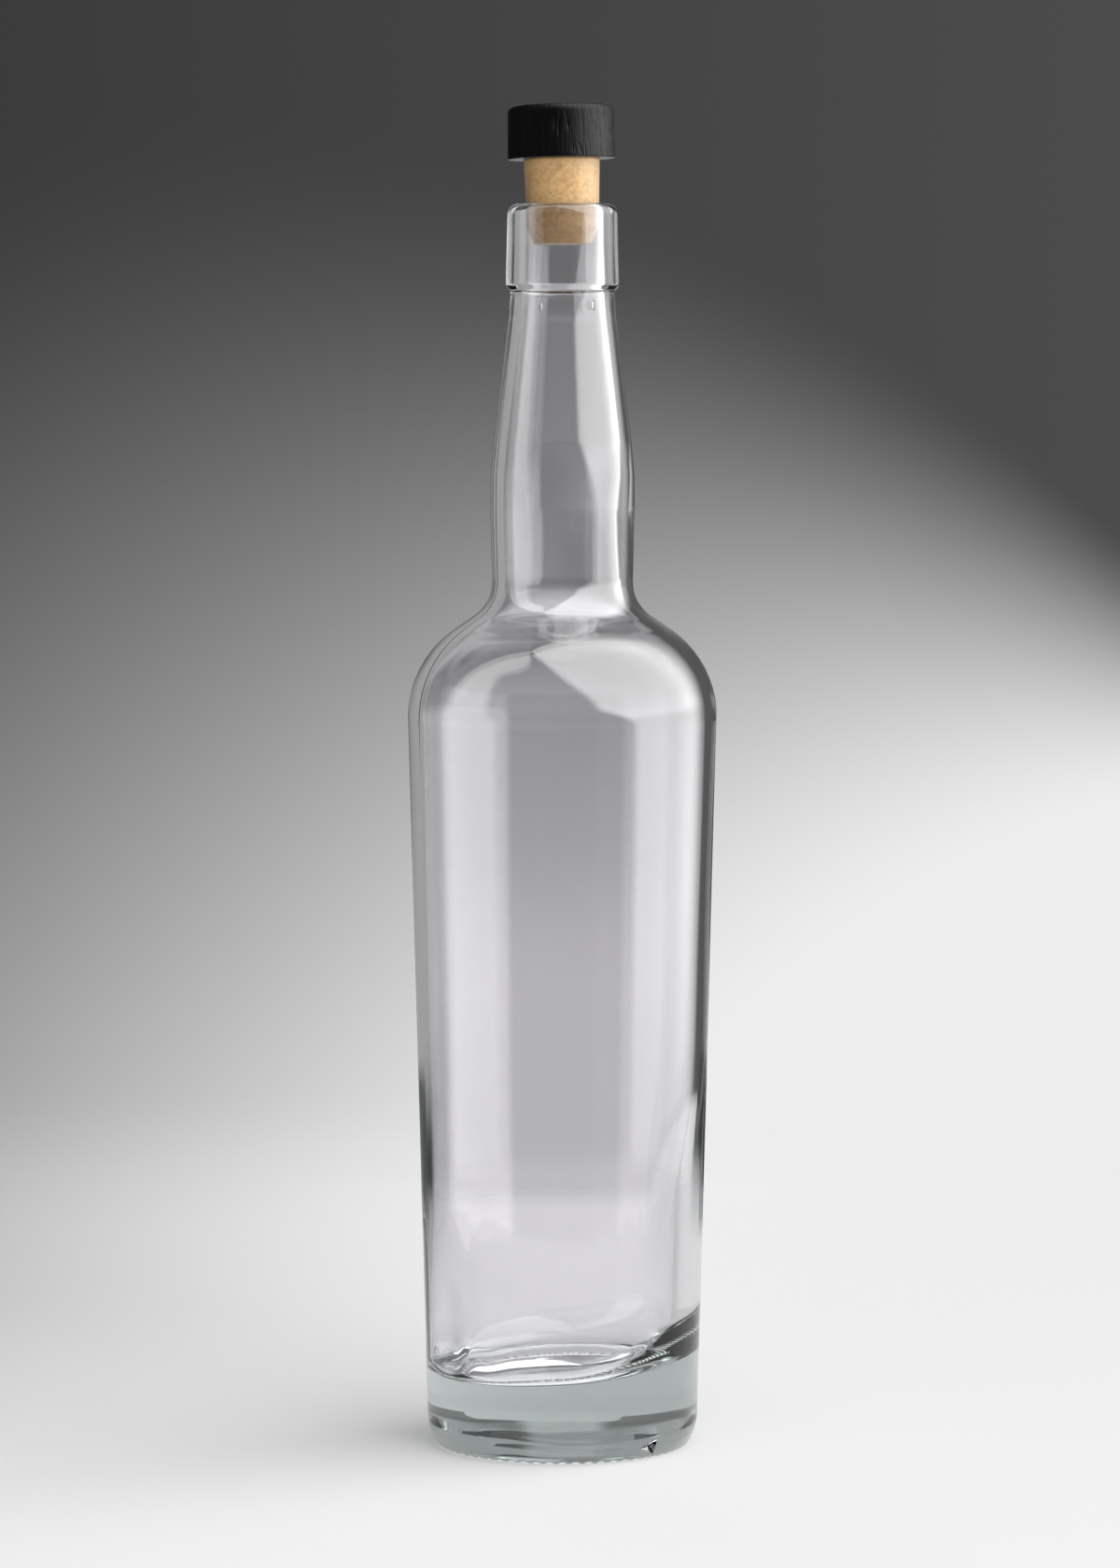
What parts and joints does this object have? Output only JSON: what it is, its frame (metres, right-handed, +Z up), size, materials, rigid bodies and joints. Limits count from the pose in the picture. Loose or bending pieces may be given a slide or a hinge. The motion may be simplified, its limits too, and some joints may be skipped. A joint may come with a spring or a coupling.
{
  "type": "spirits bottle",
  "caption": "Empty clear glass spirits bottle with a swelling neck, round shoulder, tapering body and thick base, and a black wooden T-cork drawn most of the way out.",
  "frame": {"origin": "centre of the base, on the surface the bottle stands on", "axes": "+Z up along the bottle's axis, -Y to the front, +X to the right; the stopper leans 1.2 degrees towards -X"},
  "size_m": [0.0788, 0.0788, 0.3423],
  "materials": {
    "clear_glass": "fire-polished flint glass, faintly green where thick",
    "cork": "fine micro-agglomerate cork, matte",
    "black_wood": "black-stained turned wood, satin lacquer"
  },
  "bodies": {
    "root": {"glass_bottle": "clear_glass", "stopper_shank": "cork", "stopper_head": "black_wood"}
  },
  "joints": []
}
